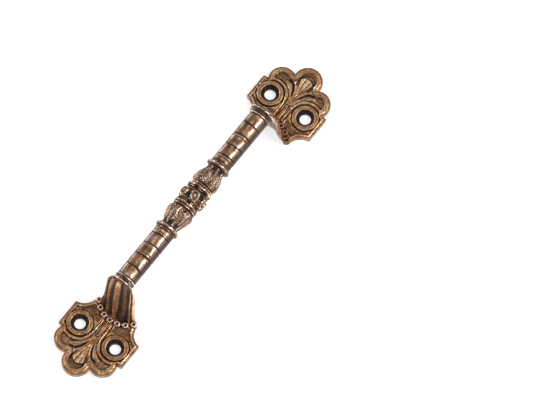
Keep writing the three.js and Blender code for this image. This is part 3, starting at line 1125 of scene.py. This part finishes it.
# Bulb: a pear shape, fullest by the disc, straight between its (x, radius) points.
def bulbProfile():
    places, radii = np.transpose(bulb["line"])
    x = np.linspace(places[0], places[-1], bulb["rows"])
    return np.stack((x, np.interp(x, places, radii), 0 * x + bulb["wear"]), -1)


leaf = {
    "count": 8,
    "front": (6.2, 13.4),
    "back": (8.6, 15.2),
    "height": 0.36,
    "veinEvery": 0.95,
    "slant": 5.5,
    "ground": 0.1,
}


# One ring of acanthus leaves with notched edges, from the place x and the angle a off a leaf's
# middle: 1 inside a leaf, 1 on its rib, 1 on its slanting veins.
def acanthus(x, a, pitch, start, tip):
    q = np.clip((x - start) / (tip - start), 0, 1)
    notch = 0.5 - 0.5 * np.cos(turn * (x - start) / leaf["veinEvery"] / 2)
    half = pitch * 0.5 * np.clip(1.0 - q**2.6, 0, 1) * (1 - 0.12 * notch)
    body = ramp(half - np.abs(a), 0.0, 0.045) * ramp(x, start - 0.25, start + 0.1)
    rib = bump(a, 0.055) * ramp(q, 1.0, 0.85)
    vein = 0.5 + 0.5 * np.cos(turn * ((x - start) / leaf["veinEvery"] - leaf["slant"] * np.abs(a)))
    return body, rib, vein**3 * ramp(np.abs(a), 0.03, 0.08)


# Two rings of acanthus leaves laid along the bulb, the back ring showing between the front tips.
def bulbLeaves(x, angle):
    pitch = turn / leaf["count"]
    swirl = 0.05 * np.sin(1.3 * x + 2 * angle)
    a = (angle + swirl + pitch / 2) % pitch - pitch / 2
    b = (angle + swirl) % pitch - pitch / 2
    front, rib, vein = acanthus(x, a, pitch, *leaf["front"])
    back, backRib, backVein = acanthus(x, b, pitch, *leaf["back"])
    back = back * (1 - front)
    bare = (1 - front) * (1 - back)
    rise = front * (0.75 + 0.45 * rib - 0.85 * vein)
    rise = rise + back * (0.35 + 0.3 * backRib - 0.35 * backVein)
    wear = front * (0.46 + 0.45 * rib - 0.62 * vein)
    wear = wear + back * (0.32 + 0.4 * backRib - 0.4 * backVein)
    return leaf["height"] * rise - leaf["ground"] * bare, wear - 0.16 * bare


# Knop: a low swelling under rosettes.
knopProfile = swellingProfile(-2.73, 2.73, 4.25, 5.22, 61, 0.2, 0.4)
rosettes = {
    "count": 6,
    "arc": 5.6,
    "height": 0.7,
    "ring": 1.7,
    "ringHalf": 0.68,
    "button": 1.05,
    "firstPit": -0.29,
    "pitHalf": 0.95,
    "pitOut": 1.1,
    "pitDepth": 0.5,
    "collar": 2.25,
}


# Lumpy rosettes round the knop: each a raised volute with a button in it. Between them are sunk
# squares, left and right of the middle by turns, and a low collar closes each end.
def knopRosettes(x, angle):
    pitch = turn / rosettes["count"]
    bent = angle - rosettes["firstPit"] + 0.05 * np.sin(2 * angle + x)
    fromRosette = (bent % pitch - pitch / 2) * rosettes["arc"]
    fromPit = ((bent + pitch / 2) % pitch - pitch / 2) * rosettes["arc"]
    radius = np.hypot(fromRosette, x * 0.92)
    ring = bump(radius - rosettes["ring"], rosettes["ringHalf"])
    button = bump(radius, rosettes["button"])
    swirl = np.arctan2(x, fromRosette) + 2.4 * radius + 3 * np.sin(3 * angle)
    curl = 0.5 + 0.5 * np.sin(swirl)
    pitX = -np.sign(np.cos(bent * rosettes["count"] / 2)) * rosettes["pitOut"]
    away = np.maximum(np.abs(fromPit), np.abs(x - pitX)) / rosettes["pitHalf"]
    pit = ramp(away, 1.15, 0.85)
    collar = bump(np.abs(x) - rosettes["collar"], 0.3)
    volute = ring * (0.45 + 0.6 * curl) + 0.9 * button
    rise = rosettes["height"] * volute - rosettes["pitDepth"] * pit + 0.15 * collar
    return rise, 0.7 * ring * curl + 0.6 * button - 0.6 * pit + 0.4 * collar


# The same shell as the upper piece and, turned round, as the lower one.
def bothSides(name, shell, slot):
    makePiece("upper_" + name, shell, slot)
    makePiece("lower_" + name, halfTurn(shell), slot)


ferrule = {"profile": ferruleProfile, "bore": rod["spigotBore"], "around": 120, "seed": 2}
lumpyFerrule = sleeveShell(**ferrule, shape=ferruleLumps)
makePiece("upper_ferrule", sleeveShell(**ferrule), "turned_bronze")
makePiece("lower_ferrule", halfTurn(lumpyFerrule), "turned_bronze")
ringShell = sleeveShell(ringProfile, rod["bore"], around=96, seed=3)
bothSides("bead_ring", ringShell, "turned_bronze")
discShell = sleeveShell(discProfile, rod["bore"], around=200, seed=5, shape=discNotches)
bothSides("disc", discShell, "turned_bronze")
bulbShell = sleeveShell(bulbProfile(), rod["bore"], around=360, seed=6, shape=bulbLeaves)
bothSides("bulb", bulbShell, "chased_bronze")
knopShell = sleeveShell(knopProfile, rod["bore"], around=320, seed=8, shape=knopRosettes)
makePiece("centre_knop", knopShell, "chased_bronze")
for i, (start, end) in enumerate(drums["spans"], 1):
    profile = drumProfile(start, end, i in drums["double"])
    stainsAndPaintedLight = drumStains(start, end, i)
    drum = sleeveShell(profile, rod["bore"], 96, 10 + i, stainsAndPaintedLight, drums["flankShade"])
    bothSides("barrel_" + str(i), drum, "turned_bronze")
print("bar made")

# the rod and the pins keep their CAD shape
for name in ("tie_rod", "lower_cross_pin", "upper_cross_pin"):
    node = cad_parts[name]
    node.data.materials.clear()
    node.data.materials.append(finishes["dark_steel"])

studio = {
    "floor": (0.93, 0.93, 0.93, 1),
    "floorRoughness": 0.9,
    "floorHalf": 3.0,
    "floorDrop": 0.0003,
    "white": (1, 1, 1, 1),
    "glow": 0.6,
    "world": 0.13,
    "centre": (0.0, 0.0, 0.012),
}
lamps = (
    # name, azimuth, elevation, distance, width, height, radiance
    ("key", 27, 46, 1.3, 1.0, 0.4, 6.5),
    ("side", -165, 32, 1.5, 0.9, 0.4, 4.0),
    ("front", -70, 40, 1.6, 0.5, 0.4, 5.5),
    ("top", 127, 69, 1.4, 0.9, 0.9, 0.7),
)


# A pale square just under the sash plane that glows a little, so that it stays white.
def makeFloor():
    half = studio["floorHalf"]
    corners = [(-half, -half), (half, -half), (half, half), (-half, half)]
    mesh = bpy.data.meshes.new("floor")
    mesh.from_pydata([(x, y, -studio["floorDrop"]) for x, y in corners], [], [(0, 1, 2, 3)])
    look = {"Base_Color": studio["floor"], "Roughness": studio["floorRoughness"]}
    glow = {"Emission_Color": studio["white"], "Emission_Strength": studio["glow"]}
    mesh.materials.append(Sheet("paleFloor").finish(**look, **glow))
    floor = bpy.data.objects.new("floor", mesh)
    bpy.context.scene.collection.objects.link(floor)


# Even light from all round, and four soft lamps that face the handle.
def makeLights():
    world = bpy.data.worlds.new("studio")
    world.use_nodes = True
    back = world.node_tree.nodes["Background"]
    back.inputs["Color"].default_value = studio["white"]
    back.inputs["Strength"].default_value = studio["world"]
    bpy.context.scene.world = world
    for name, azimuth, elevation, distance, width, height, radiance in lamps:
        data = bpy.data.lights.new(name, "AREA")
        data.shape = "RECTANGLE"
        data.size = width
        data.size_y = height
        data.energy = radiance * np.pi * width * height
        aimAt(bpy.data.objects.new(name, data), studio["centre"], azimuth, elevation, distance)


makeFloor()
makeLights()
bpy.context.scene.view_settings.view_transform = "Standard"
print("studio made")
